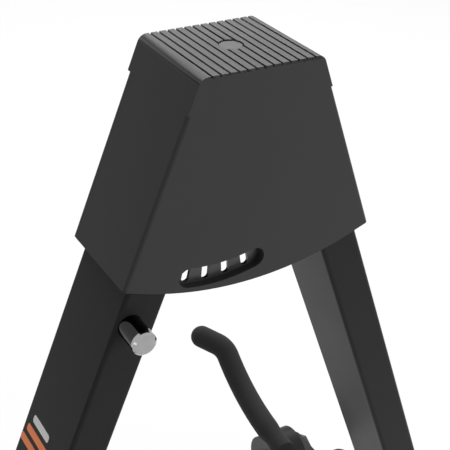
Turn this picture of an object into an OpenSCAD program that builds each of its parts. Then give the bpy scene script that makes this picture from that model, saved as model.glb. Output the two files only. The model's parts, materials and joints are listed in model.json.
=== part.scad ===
// Folding A-frame instrument stand. The frame sits on the floor: +X right across the wide
// face, +Y towards the padded arms, +Z up. Lengths are in millimetres, angles in degrees.

/* [Overall] */
// Height from the floor to the top of the cap
stand_h = 450; // [420:5:560]
// Lean of each open leg from upright
splay = 21.2; // [20:0.1:22.5]

/* [Legs] */
// Width of the leg tube across the lean
tube_w = 20; // [18:0.5:22]
// Depth of the leg tube, front to back
tube_d = 45; // [40:0.5:52]
// Wall of the leg tube
tube_wall = 1.2; // [1:0.1:1.6]
// Outside corner radius of the leg tube
tube_r = 2; // [1.6:0.1:3]
// Distance of each leg pivot from the middle plane
pivot_x = 18; // [17:0.5:20]
// Depth of the leg pivots below the top of the cap
pivot_drop = 13; // [12.5:0.25:16]
// Diameter of the pivot pins
pivot_pin_d = 8; // [6:0.5:9]
// Distance from the pivot to the upper end of the tube
tube_start = 22; // [20:0.5:28]
// Distance that the plugs reach into the tube
plug_len = 24; // [18:1:30]

/* [Hood] */
// Wall of the hood
hood_wall = 3; // [2.5:0.1:4]
// Room between the open leg and the side wall of the hood
side_gap = 1.3; // [1.2:0.1:3]
// Room between the legs and the front and back walls of the hood
face_gap = 0.4; // [0.3:0.05:0.8]
// Depth of the lowest point of the hood's hem below the top of the cap
hem_low = 103; // [100:0.5:112]
// Radius of the curved hem
hem_r = 163; // [140:1:220]
// Diameter of the screw pillars
pillar_d = 8; // [7:0.5:9]
// Depths of the two cover screws below the top of the cap
screw_drops = [40, 62];

/* [Cap] */
// Height of the ribbed cap
cap_h = 15.2; // [14:0.2:18]
// How far the cap stands out over the hood
cap_over = 0.9; // [0.5:0.1:2]
// Radius of the cap's long upper edges
cap_edge_r = 4.8; // [3:0.2:6]
// Number of grooves across the cap
groove_count = 13; // [7:2:15]
// Spacing of the grooves
groove_pitch = 4.1; // [3.6:0.1:4.4]
// Width of each groove
groove_w = 1.6; // [1:0.1:2.2]
// Depth of each groove
groove_depth = 1.2; // [0.6:0.1:1.4]
// Thickness of the cap's top
cap_top = 3.4; // [2.8:0.1:3.6]
// Wall of the cap
cap_wall = 2.2; // [1.8:0.1:2.4]

/* [Button] */
// Diameter of the button
button_d = 10.5; // [9:0.1:11]
// Gap round the button
button_gap = 0.35; // [0.2:0.05:0.6]
// Depth of the button's top below the rib tops
button_sink = 0.4; // [0:0.1:1]

/* [Gears] */
// Teeth on the full circle of each sector
gear_teeth = 24; // [24:12:24]
// Pressure angle of the teeth
gear_pressure = 20; // [20:2.5:25]
// Width of the sectors
gear_w = 8; // [5:0.5:8.5]

/* [Gate and lock] */
// Thickness of the slotted gate
gate_t = 1.5; // [1:0.1:2]
// Width of each slot
slot_w = 3.6; // [3.4:0.1:4.4]
// Angle between two slots
slot_pitch = 7.05; // [6.8:0.05:7.2]
// Radius of the slots' outer ends about the left pivot
slot_out_r = 84.8; // [84:0.1:85.2]
// Diameter of the locking pin
lock_pin_d = 3; // [2.5:0.1:3.2]
// Radius of the locking pin's circle about the left pivot
lock_r = 80.4; // [79.5:0.1:81]
// Half width of the hood's curved window
window_half = 4.95; // [4:0.05:5.2]
// Travel of the lock
lock_travel = 4.4; // [3.8:0.1:4.4]
// Diameter of the release peg
peg_d = 11.5; // [9:0.25:11.5]
// Length of the release peg in front of the leg at rest
peg_out = 15; // [8:0.5:25]
// Distance from the pivot to the release peg
peg_s = 107; // [104:0.5:120]

/* [Feet] */
// Diameter of the foot bars
bar_d = 19; // [16:0.5:20]
// Diameter of the rubber foot caps
foot_d = 26; // [24:0.5:30]
// Reach of the foot bars in front of the leg
foot_front = 75; // [55:1:95]
// Reach of the foot bars behind the leg
foot_back = 122; // [90:1:150]
// Outward turn of the foot bars
foot_toe = 6.3; // [3:0.1:8]

/* [Arms] */
// Distance of each arm from the middle plane
arm_x = 120; // [118:1:126]
// Height of the arm hubs above the floor
hub_h = 65; // [55:1:80]
// Distance of the arm hubs behind the legs
hub_y = 110; // [80:1:120]
// Diameter of the arm hubs
hub_d = 37.6; // [32:0.4:40]
// Diameter of the arm's steel rod
rod_d = 10; // [8:0.5:11]
// Diameter of the foam over the rod
foam_d = 17; // [15:0.5:20]
// Radius of the arm's upward sweep
sweep_r = 120; // [100:1:150]
// Length of the bent tip
tip_len = 24; // [15:1:35]
// Inward turn of the tip
tip_yaw = 34.8; // [0:0.2:45]
// Upward tilt of the tip
tip_pitch = 22.5; // [0:0.5:45]

/* [Fits] */
// Radial clearance of a running fit
run_fit = 0.08; // [0.04:0.01:0.1]
// Clearance of pieces that sit in each other
seat_fit = 0.1; // [0.05:0.01:0.2]
// Room between moving pieces
move_gap = 0.3; // [0.3:0.05:0.5]

/* [Hidden] */
$fn = 48;
cut = 1;
far = 2 * stand_h;

// Heights are counted down from the top of the cap, as negative values
pivot_z = -pivot_drop;
floor_z = -stand_h;
tan_splay = tan(splay);
cos_splay = cos(splay);
leg_out = tube_w / 2;
inner_y = tube_d / 2 + face_gap;
hood_y = inner_y + hood_wall;
hood_n = leg_out + side_gap + hood_wall;
cap_n = hood_n + cap_over;
cap_y = hood_y + cap_over;
body_top = -cap_h;
cover_t = hood_wall;
seam_y = hood_y - cover_t;

// Heads and their bearings
head_r = tube_w / 2 - tube_wall;
head_y = 17;
bush_flange = 1;
bush_wall = 1.6;
bush_len = 12;
bush_r = pivot_pin_d / 2 + bush_wall;
bush_flange_r = bush_r + bush_wall;
neck_side = 0.7;
neck_t = cap_y - cap_wall - inner_y - seat_fit;
boss_y = head_y + bush_flange + move_gap;
boss_r = bush_flange_r;
socket_depth = inner_y - boss_y + neck_t / 2;
pin_end_y = boss_y + socket_depth - move_gap;
neck_top = -cap_top - move_gap;
neck_half = boss_r + pivot_x + neck_side;
plug_y = tube_d / 2 - tube_wall - seat_fit;
plug_n = tube_w / 2 - tube_wall - seat_fit;
gear_set = 0.5;
gear_y1 = head_y - gear_set;
gear_y0 = gear_y1 - gear_w;

// Gear teeth of involute form
pitch_r = pivot_x;
gear_module = 2 * pitch_r / gear_teeth;
base_r = pitch_r * cos(gear_pressure);
root_r = pitch_r - 1.25 * gear_module;
tip_r = pitch_r + gear_module;
tooth_pitch = 360 / gear_teeth;
gear_slack = 0.3;
flank_steps = 5;
gear_low_teeth = 3;
root_sink = 1.2;

// Gate, window and lock
gate_front_y = -inner_y;
gate_back_y = gate_front_y + gate_t;
gate_r0 = 60;
gate_rim = 1.4;
gate_r1 = slot_out_r + gate_rim;
notch_rim = 0.4;
notch_r = gate_r1 + notch_rim;
notch_gap = 0.5;
notch_y = gate_back_y + notch_gap;
first_slot = -10.35;
slot_count = 4;
slot_in_r = 70;
gate_lead = 6.65;
gate_tail = 9.2;
window_r = 80.75;
window_a0 = -10.7;
window_a1 = 13.4;
window_ledge = 0.15;
window_end_r = window_half - window_ledge;
stake_d = 3;
stake_r = 64.5;
stake_angles = [-8, 12];
lock_angle = splay + first_slot;
lock_n = -lock_r * sin(lock_angle);
lock_s = lock_r * cos(lock_angle);
pin_recess = 0.4;
lock_front_y = -hood_y + pin_recess;
carrier_t = 2.5;
carrier_front_y = notch_y + lock_travel;
carrier_back_y = carrier_front_y + carrier_t;
carrier_n = tube_w / 2 - tube_wall - move_gap - seat_fit;
ear_r = 4;
ear_room = 1;
ear_top_y = carrier_back_y + move_gap + ear_room;
pin_head_t = 1.2;
pin_head_r = 2.5;
peg_n = tube_w / 2 - tube_wall - seat_fit - peg_d / 2;
peg_front_y = -tube_d / 2 - peg_out;
peg_chamfer = 1;
peg_screw_d = 4;
peg_screw_in = 9;
peg_screw_head_r = 3.2;
peg_screw_head_t = 2.5;
carrier_lip = 2;
carrier_end = peg_s + peg_d / 2 + carrier_lip;
spring_shift = 0.6;
spring_n = peg_n - spring_shift;
spring_r = 5.2;
spring_wire = 1.2;

// Button and its shelf
button_hole_r = button_d / 2 + button_gap;
flange_lap = 0.9;
button_flange_r = button_hole_r + flange_lap;
button_flange_t = 1.6;
button_flange_top = -cap_top - move_gap;
stem_d = 5;
shelf_top = -22;
shelf_t = 3;
shelf_x = 6;
shelf_y = 7;
stem_tail = 2;
stem_low = shelf_top - shelf_t - stem_tail;
button_spring_r = 4.6;
button_spring_wire = 0.9;

// Screws
cover_screw_d = 3;
cover_screw_head_r = 3.2;
cover_screw_head_t = 1.6;
cover_screw_in = 12;
cross_share = 1.6;
tube_screw_d = 4.4;
tube_screw_head_r = 4;
tube_screw_head_t = 1;
tube_screw_y = 10;
tube_screw_in = 8;
bracket_screw_d = 6;
bracket_screw_head_r = 5.5;
bracket_screw_head_t = 3;
bracket_screw_in = 8;
tube_screw_tail = tube_w / 2 - tube_wall;

// Feet
foot_r = foot_d / 2;
foot_flat = 0.5;
foot_z = floor_z + foot_r - foot_flat;
foot_x = pivot_x + (pivot_z - foot_z) * tan_splay;
foot_s = (pivot_z - foot_z) / cos_splay;
shoe_set = 1;
shoe_r = foot_r - shoe_set;
shoe_half = 30;
shoe_side = 2;
shoe_n = tube_w / 2 + shoe_side;
shoe_face = 3;
shoe_y = tube_d / 2 + shoe_face;
tube_lift = 10;
tube_end = foot_s - foot_r - tube_lift;
foot_cap_len = 16;
foot_dome_share = 0.6;
lace_screw_s = tube_end - plug_len / 2;

// Arms, in the plane x = arm_x
hub_z = floor_z + hub_h;
hub_r = hub_d / 2;
eye_half = 7;
hub_t = 11.7;
plate_t = 6;
plate_half_h = 12;
plate_x = arm_x + eye_half + move_gap + hub_t;
plate_front = 20;
hub_bolt_d = 10;
hub_head_r = 8;
hub_head_t = 3;
hub_nut_t = 5;
hub_nut_r = 9;
saddle_s = (pivot_z - hub_z) / cos_splay;
rod_rise = 20.8;
rod_back = 3;
sweep_a0 = 3;
sweep_a1 = 41;
rod_a0 = -2;
socket_a1 = 9.5;
foam_a0 = 11;
socket_r = eye_half;
sweep_y = hub_y - rod_back - sweep_r * sin(sweep_a0);
sweep_z = hub_z + rod_rise + sweep_r * cos(sweep_a0);
tip_y = sweep_y + sweep_r * sin(sweep_a1);
tip_z = sweep_z - sweep_r * cos(sweep_a1);
rod_short = 4;
bend_bead = 0.2;
foam_r = foam_d / 2;

// The frame's Y origin is halfway between the foremost foot and the tips of the arms
front_reach = (foot_front + foot_r * foot_dome_share) * cos(foot_toe)
    + foot_r * sqrt(1 - foot_dome_share * foot_dome_share) * sin(foot_toe);
back_reach = tip_y + tip_len * cos(tip_pitch) * cos(tip_yaw) + foam_r;
y_mid = (back_reach - front_reach) / 2;

function side_x(n, z) = pivot_x + n / cos_splay + (pivot_z - z) * tan_splay;
function involute(a) = tan(a) * 180 / PI - a;
function tooth_half(r) = 90 / gear_teeth - gear_slack + involute(gear_pressure)
    - involute(acos(min(1, base_r / max(r, base_r))));
function flank_r(i) = i == 0 ? root_r - root_sink
    : base_r + (tip_r - base_r) * (i - 1) / (flank_steps - 1);

// Places
module stand() translate([0, -y_mid, stand_h]) children();
module left() stand() mirror([1, 0, 0]) children();
module right() stand() children();
// Leg frame: origin at the pivot, +X away from the middle, -Z down along the leg
module on_leg() translate([pivot_x, 0, pivot_z]) rotate([0, -splay, 0]) children();
module at_pivot() translate([pivot_x, 0, pivot_z]) children();
module at_left_pivot() translate([-pivot_x, 0, pivot_z]) children();
module on_foot() translate([foot_x, 0, foot_z]) rotate([0, 0, -foot_toe]) children();

// Shapes
module y_prism(y0, y1) translate([0, y1, 0]) rotate([90, 0, 0]) linear_extrude(y1 - y0)
    children();
module y_rod(x, z, r, y0, y1) translate([x, y1, z]) rotate([90, 0, 0])
    cylinder(r = r, h = y1 - y0);
module x_rod(y, z, r, x0, x1) translate([x0, y, z]) rotate([0, 90, 0])
    cylinder(r = r, h = x1 - x0);
module block(x0, x1, y0, y1, z0, z1) translate([x0, y0, z0])
    cube([x1 - x0, y1 - y0, z1 - z0]);
// A ring sector about the Y axis; angles run from straight down towards +X
module arc_bar(r0, r1, a0, a1, y0, y1) rotate([90, 0, 0]) rotate([0, 0, a0 - 90])
    rotate_extrude(angle = a1 - a0) translate([r0, -y1]) square([r1 - r0, y1 - y0]);
module round_rect(w, d, r) {
    square([w - 2 * r, d], center = true);
    square([w, d - 2 * r], center = true);
    for (i = [-1, 1], j = [-1, 1]) translate([i * (w / 2 - r), j * (d / 2 - r)]) circle(r);
}
// A prism with sides parallel to the open legs, at the distance n outside the pivots
module side_prism(n, top, low, y0, y1) y_prism(y0, y1) polygon([[-side_x(n, top), top],
    [side_x(n, top), top], [side_x(n, low), low], [-side_x(n, low), low]]);
module wedge(n, top, y0, y1) intersection() {
    side_prism(n, top, -hem_low - cut, y0, y1);
    y_rod(0, hem_r - hem_low, hem_r, y0 - cut, y1 + cut, $fn = 180);
}

// Hood and what is fixed in it
module window_cut(y0, y1) at_left_pivot() {
    arc_bar(window_r - window_half, window_r + window_half, window_a0, window_a1, y0, y1);
    for (a = [window_a0, window_a1])
        y_rod(window_r * sin(a), -window_r * cos(a), window_end_r, y0, y1);
}
module neck(y0, y1) block(-neck_half, neck_half, y0, y1, body_top - cut, neck_top);
module cap() color("#2e2e30") stand() difference() {
    difference() {
        y_prism(-cap_y, cap_y) polygon(cap_outline(cap_n, 0, cap_edge_r));
        side_prism(hood_n - hood_wall, -cap_top, body_top - cut, cap_wall - cap_y,
            cap_y - cap_wall);
        for (i = [0:groove_count - 1])
            translate([(i - (groove_count - 1) / 2) * groove_pitch, 0, 0])
                block(-groove_w / 2, groove_w / 2, -cap_y - cut, cap_y + cut,
                    -groove_depth, cut);
    }
    cylinder(r = button_hole_r, h = 4 * cap_top, center = true);
}
function cap_outline(n, top, r) = let (
        corner = side_x(n, top) - r * tan((90 - splay) / 2),
        steps = 6,
        arc = [for (i = [0:steps]) let (a = 90 - (90 - splay) * i / steps)
            [corner + r * cos(a), top - r + r * sin(a)]])
    concat([for (i = [0:steps]) [-arc[steps - i][0], arc[steps - i][1]]], arc,
        [[side_x(n, body_top), body_top], [-side_x(n, body_top), body_top]]);
module hood() color("#2e2e30") stand() difference() {
    union() {
        difference() {
            wedge(hood_n, body_top, -hood_y, seam_y);
            side_prism(hood_n - hood_wall, body_top + cut, -hem_low - 2 * cut, -inner_y,
                seam_y + cut);
        }
        neck(-inner_y - neck_t, -inner_y);
        for (x = [-pivot_x, pivot_x]) y_rod(x, pivot_z, boss_r, -inner_y - cut / 2, -boss_y);
        for (d = screw_drops) y_rod(0, -d, pillar_d / 2, -inner_y - cut / 2, seam_y);
        block(-shelf_x, shelf_x, -inner_y - cut / 2, shelf_y, shelf_top - shelf_t, shelf_top);
        at_left_pivot() for (a = stake_angles)
            y_rod(stake_r * sin(a), -stake_r * cos(a), stake_d / 2, -inner_y - cut / 2,
                gate_back_y);
    }
    for (x = [-pivot_x, pivot_x])
        y_rod(x, pivot_z, pivot_pin_d / 2 + seat_fit, -boss_y - socket_depth, -boss_y + cut);
    for (d = screw_drops)
        y_rod(0, -d, cover_screw_d / 2 + seat_fit, seam_y - cover_screw_in, seam_y + cut);
    translate([0, 0, shelf_top - shelf_t - cut])
        cylinder(r = stem_d / 2 + run_fit, h = shelf_t + 2 * cut);
    window_cut(-hood_y - cut, -inner_y + cut);
}
module rear_cover() color("#2e2e30") stand() difference() {
    union() {
        wedge(hood_n, body_top, seam_y, hood_y);
        neck(seam_y, seam_y + neck_t);
        for (x = [-pivot_x, pivot_x]) y_rod(x, pivot_z, boss_r, boss_y, seam_y + cut / 2);
    }
    for (x = [-pivot_x, pivot_x])
        y_rod(x, pivot_z, pivot_pin_d / 2 + seat_fit, boss_y - cut, boss_y + socket_depth);
    for (d = screw_drops) {
        y_rod(0, -d, cover_screw_d / 2 + seat_fit, seam_y - cut, hood_y + cut);
        y_rod(0, -d, cover_screw_head_r + seat_fit, hood_y - cover_screw_head_t,
            hood_y + cut);
    }
}
module cover_screws() color("#8a8a8e") stand() for (d = screw_drops) {
    y_rod(0, -d, cover_screw_d / 2, seam_y - cover_screw_in + cut,
        hood_y - cover_screw_head_t);
    difference() {
        y_rod(0, -d, cover_screw_head_r, hood_y - cover_screw_head_t, hood_y);
        for (a = [0, 90]) translate([0, hood_y, -d]) rotate([0, a, 0])
            cube([cross_share * cover_screw_head_r, cover_screw_head_t, cover_screw_head_t / 2],
                center = true);
    }
}
module release_button() color("#262628") stand() {
    top = -button_sink;
    translate([0, 0, button_flange_top]) cylinder(r = button_d / 2, h = top - button_flange_top);
    translate([0, 0, button_flange_top - button_flange_t])
        cylinder(r = button_flange_r, h = button_flange_t);
    translate([0, 0, stem_low]) cylinder(r = stem_d / 2, h = button_flange_top - stem_low);
}
module button_spring() color("#a5a5aa") stand() translate([0, 0, shelf_top]) difference() {
    h = button_flange_top - button_flange_t - shelf_top;
    cylinder(r = button_spring_r, h = h);
    translate([0, 0, -cut]) cylinder(r = button_spring_r - button_spring_wire, h = h + 2 * cut);
}
module gate_plate() color("#3a3a3d") stand() at_left_pivot() difference() {
    arc_bar(gate_r0, gate_r1, first_slot - gate_lead,
        first_slot + (slot_count - 1) * slot_pitch + gate_tail, gate_front_y, gate_back_y);
    for (i = [0:slot_count - 1]) rotate([0, -first_slot - i * slot_pitch, 0]) {
        block(-slot_w / 2, slot_w / 2, gate_front_y - cut, gate_back_y + cut,
            slot_w / 2 - slot_out_r, -slot_in_r);
        y_rod(0, slot_w / 2 - slot_out_r, slot_w / 2, gate_front_y - cut, gate_back_y + cut);
        y_rod(0, -slot_in_r, slot_w / 2, gate_front_y - cut, gate_back_y + cut);
    }
    for (a = stake_angles) y_rod(stake_r * sin(a), -stake_r * cos(a),
        stake_d / 2 + seat_fit, gate_front_y - cut, gate_back_y + cut);
}
module pivot_pins() color("#b9b9bd") stand() for (x = [-pivot_x, pivot_x])
    y_rod(x, pivot_z, pivot_pin_d / 2, -pin_end_y, pin_end_y);

// Legs, drawn on the right and mirrored to the left
module tooth(e) y_prism(gear_y0, gear_y1) rotate(180 - e) polygon(concat(
    [for (i = [0:flank_steps]) let (r = flank_r(i), h = tooth_half(r)) [r * cos(h), r * sin(h)]],
    [for (i = [0:flank_steps]) let (r = flank_r(flank_steps - i), h = tooth_half(r))
        [r * cos(h), -r * sin(h)]]));
// The sector's teeth stand at these elevations above the line between the pivots
module gear_sector(first) at_pivot() {
    low = first - gear_low_teeth * tooth_pitch;
    arc_bar(bush_r + bush_wall, root_r, -90 - first - tooth_pitch / 3,
        -90 - low + tooth_pitch / 3, gear_y0, gear_y1);
    for (i = [0:gear_low_teeth]) tooth(first - i * tooth_pitch);
}
module leg_head(first) {
    difference() {
        union() {
            on_leg() {
                y_rod(0, 0, head_r, -head_y, head_y);
                block(-head_r, head_r, -head_y, head_y, -tube_start, 0);
                block(-plug_n, plug_n, notch_y + seat_fit, plug_y,
                    -tube_start - plug_len, -tube_start + cut);
            }
            gear_sector(first);
        }
        at_pivot() y_rod(0, 0, bush_r + seat_fit, -head_y - cut, head_y + cut);
        on_leg() for (y = [-tube_screw_y, tube_screw_y])
            translate([plug_n + cut, y, -tube_start - plug_len / 2]) rotate([0, -90, 0])
                cylinder(r = tube_screw_d / 2 + seat_fit, h = tube_screw_in + cut);
    }
}
module bushes() at_pivot() for (j = [0, 1]) mirror([0, j, 0]) difference() {
    union() {
        y_rod(0, 0, bush_r, head_y - bush_len, head_y);
        y_rod(0, 0, bush_flange_r, head_y, head_y + bush_flange);
    }
    y_rod(0, 0, pivot_pin_d / 2 + run_fit, head_y - bush_len - cut,
        head_y + bush_flange + cut);
}
module tube_blank() on_leg() translate([0, 0, -tube_end]) difference() {
    h = tube_end - tube_start;
    linear_extrude(h) round_rect(tube_w, tube_d, tube_r);
    translate([0, 0, -cut]) linear_extrude(h + 2 * cut)
        round_rect(tube_w - 2 * tube_wall, tube_d - 2 * tube_wall, tube_r - tube_wall);
}
module outer_holes(s, d) on_leg() for (y = [-tube_screw_y, tube_screw_y])
    translate([0, y, -s]) rotate([0, 90, 0]) cylinder(r = d / 2 + seat_fit, h = tube_w);
module bracket_holes() on_leg() for (y = [-tube_screw_y, tube_screw_y])
    translate([-tube_w / 2 - bracket_screw_in - cut, y, -saddle_s]) rotate([0, 90, 0])
        cylinder(r = bracket_screw_d / 2 + seat_fit, h = 2 * tube_w + bracket_screw_in);
module leg_tube() difference() {
    tube_blank();
    outer_holes(tube_start + plug_len / 2, tube_screw_d);
    outer_holes(lace_screw_s, tube_screw_d);
    bracket_holes();
}
module tube_rivets(s) on_leg() for (y = [-tube_screw_y, tube_screw_y])
    translate([0, y, -s]) {
        x_rod(0, 0, tube_screw_d / 2, tube_screw_tail - tube_screw_in + cut, tube_w / 2);
        x_rod(0, 0, tube_screw_head_r, tube_w / 2, tube_w / 2 + tube_screw_head_t);
    }

// Lock in the left leg, drawn in the right leg's frame and mirrored
module lock_eye(r, y0, y1) y_rod(lock_n, -lock_s, r, y0, y1);
module left_lock_cuts() {
    at_pivot() y_rod(0, 0, notch_r, -tube_d / 2 - cut, notch_y);
    on_leg() {
        block(-tube_w / 2 - cut, -tube_w / 2 + tube_wall + cut, -tube_d / 2 - cut,
            ear_top_y, -lock_s - ear_r - ear_room, -lock_s + ear_r + ear_room);
        y_rod(peg_n, -peg_s, peg_d / 2 + seat_fit, -tube_d / 2 - cut, notch_y + cut);
    }
}
module lock_carrier() color("#1d1d20") left() on_leg() difference() {
    union() {
        block(-carrier_n, carrier_n, carrier_front_y, carrier_back_y, -carrier_end,
            -lock_s + ear_r);
        block(lock_n, -carrier_n + cut, carrier_front_y, carrier_back_y, -lock_s - ear_r,
            -lock_s + ear_r);
        lock_eye(ear_r, carrier_front_y, carrier_back_y);
    }
    lock_eye(lock_pin_d / 2 + seat_fit / 2, carrier_front_y - cut, carrier_back_y + cut);
    y_rod(peg_n, -peg_s, peg_screw_d / 2 + seat_fit, carrier_front_y - cut,
        carrier_back_y + cut);
}
module lock_pin() color("#d2d2d6") left() on_leg() {
    tip = lock_front_y + lock_travel;
    lock_eye(lock_pin_d / 2, tip + lock_pin_d / 2, carrier_back_y);
    translate([lock_n, tip + lock_pin_d / 2, -lock_s]) sphere(d = lock_pin_d);
    lock_eye(pin_head_r, carrier_back_y, carrier_back_y + pin_head_t);
}
module release_peg() color("#c8c8cc") left() on_leg() difference() {
    union() {
        y_rod(peg_n, -peg_s, peg_d / 2, peg_front_y + peg_chamfer, carrier_front_y);
        translate([peg_n, peg_front_y, -peg_s]) rotate([-90, 0, 0])
            cylinder(r1 = peg_d / 2 - peg_chamfer, r2 = peg_d / 2, h = peg_chamfer);
    }
    y_rod(peg_n, -peg_s, peg_screw_d / 2 + seat_fit, carrier_front_y - peg_screw_in,
        carrier_front_y + cut);
}
module peg_screw() color("#8a8a8e") left() on_leg() {
    y_rod(peg_n, -peg_s, peg_screw_d / 2, carrier_front_y - peg_screw_in + cut,
        carrier_back_y);
    y_rod(peg_n, -peg_s, peg_screw_head_r, carrier_back_y, carrier_back_y + peg_screw_head_t);
}
module lock_spring() color("#a5a5aa") left() on_leg() difference() {
    y_rod(spring_n, -peg_s, spring_r, carrier_back_y, tube_d / 2 - tube_wall);
    y_rod(spring_n, -peg_s, spring_r - spring_wire + seat_fit, carrier_back_y - cut, tube_d / 2);
}

// Feet
module leg_shoe() difference() {
    union() {
        on_leg() {
            translate([0, 0, -tube_end]) linear_extrude(plug_len)
                round_rect(2 * plug_n, 2 * plug_y, tube_wall);
            translate([0, 0, -foot_s]) linear_extrude(foot_s - tube_end)
                round_rect(2 * shoe_n, 2 * shoe_y, tube_r);
        }
        on_foot() y_rod(0, 0, shoe_r, -shoe_half, shoe_half);
    }
    on_foot() y_rod(0, 0, bar_d / 2 + seat_fit, -shoe_half - shoe_y, shoe_half + shoe_y);
    outer_holes(lace_screw_s, tube_screw_d);
}
module foot_bar() on_foot() difference() {
    y_rod(0, 0, bar_d / 2, -foot_front, foot_back);
    y_rod(0, 0, bar_d / 2 - 2 * tube_wall, -foot_front - cut, foot_back + cut);
}
module foot_cap(end, way) difference() {
    mouth = end - way * foot_cap_len;
    nose = end + way * foot_r * foot_dome_share;
    intersection() {
        union() {
            y_rod(0, 0, foot_r, min(end, mouth), max(end, mouth));
            translate([0, end, 0]) sphere(r = foot_r);
        }
        block(-foot_d, foot_d, min(mouth, nose), max(mouth, nose), floor_z - foot_z, foot_d);
    }
    y_rod(0, 0, bar_d / 2 + seat_fit, min(end, end - way * 2 * foot_cap_len),
        max(end, end - way * 2 * foot_cap_len));
}
module foot_caps() on_foot() {
    foot_cap(foot_back, 1);
    foot_cap(-foot_front, -1);
}

// Arms
module arm_bracket() difference() {
    union() {
        block(plate_x, plate_x + plate_t, -plate_front, hub_y, hub_z - plate_half_h,
            hub_z + plate_half_h);
        x_rod(hub_y, hub_z, plate_half_h, plate_x, plate_x + plate_t);
        block(plate_x + cut, plate_x + tube_w, -plate_front, plate_front,
            hub_z - plate_half_h, hub_z + plate_half_h);
        x_rod(hub_y, hub_z, hub_r, plate_x - hub_t, plate_x);
    }
    on_leg() block(-tube_w / 2, far, -far, far, -far, far);
    bracket_holes();
    x_rod(hub_y, hub_z, hub_bolt_d / 2 + seat_fit, arm_x, far);
}
module bracket_screws() on_leg() for (y = [-tube_screw_y, tube_screw_y])
    translate([0, y, -saddle_s]) {
        x_rod(0, 0, bracket_screw_d / 2, -tube_w / 2 - bracket_screw_in, tube_w / 2);
        x_rod(0, 0, bracket_screw_head_r, tube_w / 2, tube_w / 2 + bracket_screw_head_t);
    }
module hub_bolt() {
    x_rod(hub_y, hub_z, hub_bolt_d / 2, arm_x - eye_half - cut,
        plate_x + plate_t + hub_nut_t + cut);
    x_rod(hub_y, hub_z, hub_head_r, arm_x - eye_half - move_gap - hub_head_t,
        arm_x - eye_half - move_gap);
}
module hub_nut() difference() {
    translate([plate_x + plate_t, hub_y, hub_z]) rotate([0, 90, 0])
        cylinder(r = hub_nut_r, h = hub_nut_t, $fn = 6);
    x_rod(hub_y, hub_z, hub_bolt_d / 2 + seat_fit, plate_x, far);
}
module sweep(r, a0, a1) translate([arm_x, sweep_y, sweep_z]) rotate([90, 0, 90])
    rotate([0, 0, a0 - 90]) rotate_extrude(angle = a1 - a0, $fn = 96)
        translate([sweep_r, 0]) circle(r, $fn = 32);
module tip(r, len) translate([arm_x, tip_y, tip_z]) rotate([0, 0, tip_yaw])
    rotate([tip_pitch - 90, 0, 0]) {
        cylinder(r = r, h = len, $fn = 32);
        sphere(r = r + bend_bead, $fn = 32);
    }
module arm_hub() difference() {
    union() {
        x_rod(hub_y, hub_z, hub_r, arm_x - eye_half, arm_x + eye_half);
        sweep(socket_r, rod_a0, socket_a1);
    }
    sweep(rod_d / 2 + seat_fit, rod_a0 - cut, socket_a1 + cut);
    x_rod(hub_y, hub_z, hub_bolt_d / 2 + run_fit, 0, far);
}
module arm_rod() {
    sweep(rod_d / 2, rod_a0, sweep_a1);
    tip(rod_d / 2, tip_len - rod_short);
}
module arm_foam() difference() {
    union() {
        sweep(foam_r, foam_a0, sweep_a1);
        tip(foam_r, tip_len);
        translate([arm_x, tip_y, tip_z]) rotate([0, 0, tip_yaw])
            rotate([tip_pitch - 90, 0, 0]) translate([0, 0, tip_len])
                sphere(r = foam_r, $fn = 32);
    }
    sweep(rod_d / 2 + move_gap, foam_a0 - cut, sweep_a1);
    tip(rod_d / 2 + move_gap, tip_len - rod_short + move_gap);
}

cap();
hood();
rear_cover();
cover_screws();
release_button();
button_spring();
gate_plate();
pivot_pins();
color("#4a4a4e") left() leg_head(0);  // left_leg_head
color("#4a4a4e") right() leg_head(tooth_pitch / 2);  // right_leg_head
color("#d8d5c8") left() bushes();  // left_bushes
color("#d8d5c8") right() bushes();  // right_bushes
color("#242426") left() difference() {  // left_leg_tube
    leg_tube();
    left_lock_cuts();
}
color("#242426") right() leg_tube();  // right_leg_tube
color("#8a8a8e") left()  // left_head_rivets
    tube_rivets(tube_start + plug_len / 2);
color("#8a8a8e") right()  // right_head_rivets
    tube_rivets(tube_start + plug_len / 2);
lock_carrier();
lock_pin();
release_peg();
peg_screw();
lock_spring();
color("#2a2a2c") left() leg_shoe();  // left_leg_shoe
color("#2a2a2c") right() leg_shoe();  // right_leg_shoe
color("#8a8a8e") left() tube_rivets(lace_screw_s);  // left_shoe_screws
color("#8a8a8e") right()  // right_shoe_screws
    tube_rivets(lace_screw_s);
color("#242426") left() foot_bar();  // left_foot_bar
color("#242426") right() foot_bar();  // right_foot_bar
color("#1b1b1c") left() foot_caps();  // left_foot_caps
color("#1b1b1c") right() foot_caps();  // right_foot_caps
color("#2a2a2c") left() arm_bracket();  // left_arm_bracket
color("#2a2a2c") right() arm_bracket();  // right_arm_bracket
color("#8a8a8e") left() bracket_screws();  // left_bracket_screws
color("#8a8a8e") right() bracket_screws();  // right_bracket_screws
color("#8a8a8e") left() hub_bolt();  // left_hub_bolt
color("#8a8a8e") right() hub_bolt();  // right_hub_bolt
color("#8a8a8e") left() hub_nut();  // left_hub_nut
color("#8a8a8e") right() hub_nut();  // right_hub_nut
color("#262628") left() arm_hub();  // left_arm_hub
color("#262628") right() arm_hub();  // right_arm_hub
color("#55555a") left() arm_rod();  // left_arm_rod
color("#55555a") right() arm_rod();  // right_arm_rod
color("#303032") left() arm_foam();  // left_arm_foam
color("#303032") right() arm_foam();  // right_arm_foam
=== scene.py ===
import json
import math

import bmesh
import bpy
from mathutils import Matrix, Vector


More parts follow.
